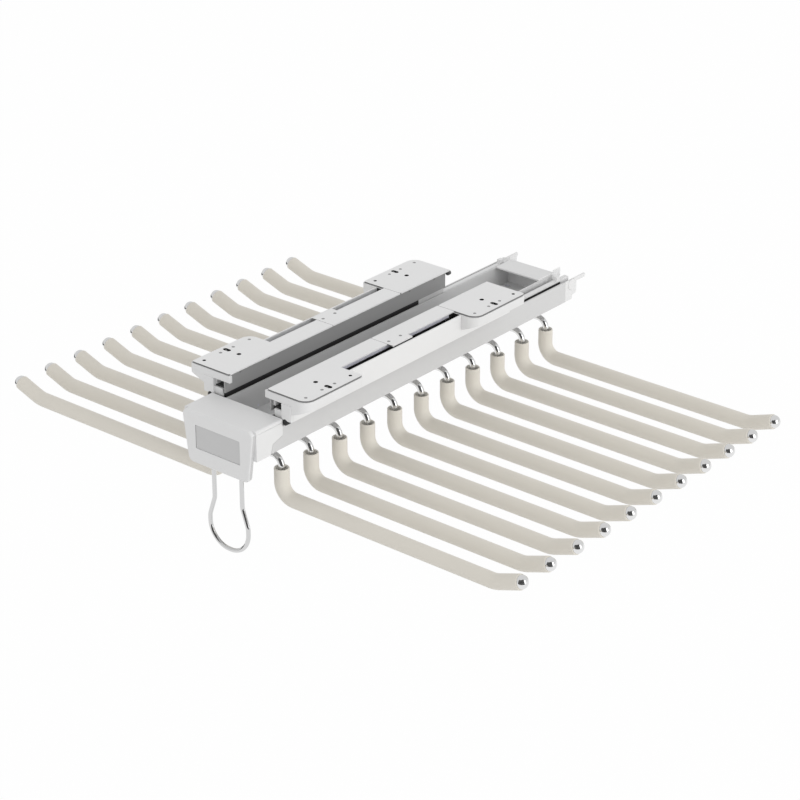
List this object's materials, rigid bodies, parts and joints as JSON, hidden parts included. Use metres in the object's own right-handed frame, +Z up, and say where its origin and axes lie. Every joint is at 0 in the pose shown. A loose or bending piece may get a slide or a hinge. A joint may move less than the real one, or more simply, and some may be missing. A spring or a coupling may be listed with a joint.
{
  "type": "pull-out trouser rack",
  "caption": "Top-mounted pull-out trouser rack: a sliding frame with sleeved arms on both sides hangs from two plate-mounted runners and is drawn out by a wire loop.",
  "frame": {"origin": "centre of the four mounting plates, on the face that meets the wardrobe top", "axes": "+X to the right along the arms, +Y to the rear of the wardrobe, +Z up"},
  "size_m": [0.594, 0.4697, 0.1513],
  "materials": {
    "white_sheet": "satin white paint",
    "white_plastic": "fine matt white",
    "white_rail": "satin white paint",
    "grey_steel": "satin grey",
    "galvanised": "zinc plated",
    "chrome": "polished",
    "beige_sleeve": "soft flocked beige",
    "label_grey": "matt grey, bare",
    "black_rubber": "matt"
  },
  "bodies": {
    "runners": {"bracket_left_front": "white_plastic", "bracket_left_rear": "white_plastic", "bracket_right_front": "white_plastic", "bracket_right_rear": "white_plastic", "cover_strip_left": "white_sheet", "cover_strip_right": "white_sheet", "front_buffers": "black_rubber", "front_posts": "white_plastic", "mount_plate_left_front": "white_sheet", "mount_plate_left_rear": "white_sheet", "mount_plate_right_front": "white_sheet", "mount_plate_right_rear": "white_sheet", "rear_buffers": "black_rubber", "runner_rivets": "galvanised", "runner_skirt_left": "grey_steel", "runner_skirt_right": "grey_steel", "slide_fixed_left": "white_rail", "slide_fixed_right": "white_rail", "slide_screws": "galvanised", "spine_bars": "galvanised"},
    "frame": {"arm_beam": "grey_steel", "arm_sleeves_01": "beige_sleeve", "arm_sleeves_02": "beige_sleeve", "arm_sleeves_03": "beige_sleeve", "arm_sleeves_04": "beige_sleeve", "arm_sleeves_05": "beige_sleeve", "arm_sleeves_06": "beige_sleeve", "arm_sleeves_07": "beige_sleeve", "arm_sleeves_08": "beige_sleeve", "arm_sleeves_09": "beige_sleeve", "arm_sleeves_10": "beige_sleeve", "arm_sleeves_11": "beige_sleeve", "arm_tips": "chrome", "beam_bolts": "galvanised", "centre_tray": "grey_steel", "clamp_plate": "grey_steel", "cross_rod_01": "chrome", "cross_rod_02": "chrome", "cross_rod_03": "chrome", "cross_rod_04": "chrome", "cross_rod_05": "chrome", "cross_rod_06": "chrome", "cross_rod_07": "chrome", "cross_rod_08": "chrome", "cross_rod_09": "chrome", "cross_rod_10": "chrome", "cross_rod_11": "chrome", "frame_screws": "galvanised", "front_cap": "white_plastic", "label_plate": "label_grey", "rail_rivets": "galvanised", "rear_cap": "white_plastic", "side_rail_left": "white_rail", "side_rail_right": "white_rail", "slide_rail_left": "white_rail", "slide_rail_right": "white_rail"},
    "cage_left": {"ball_cage_left": "galvanised"},
    "cage_right": {"ball_cage_right": "galvanised"},
    "loop": {"pull_loop": "chrome"}
  },
  "joints": [
    {"name": "frame_slide", "type": "slide", "parent": "runners", "child": "frame", "axis": [0, -1, 0], "range_m": [0, 0.26]},
    {"name": "cage_left_slide", "type": "slide", "parent": "runners", "child": "cage_left", "axis": [0, -1, 0], "range_m": [0, 0.13]},
    {"name": "cage_right_slide", "type": "slide", "parent": "runners", "child": "cage_right", "axis": [0, -1, 0], "range_m": [0, 0.13]},
    {"name": "loop_swing", "type": "hinge", "parent": "frame", "child": "loop", "pos_m": [0, -0.1786, -0.063], "axis": [1, 0, 0], "range_deg": [-30, 60]}
  ],
  "couplings": [
    {"joint": "cage_left_slide", "follows": "frame_slide", "ratio": 0.5},
    {"joint": "cage_right_slide", "follows": "frame_slide", "ratio": 0.5}
  ]
}
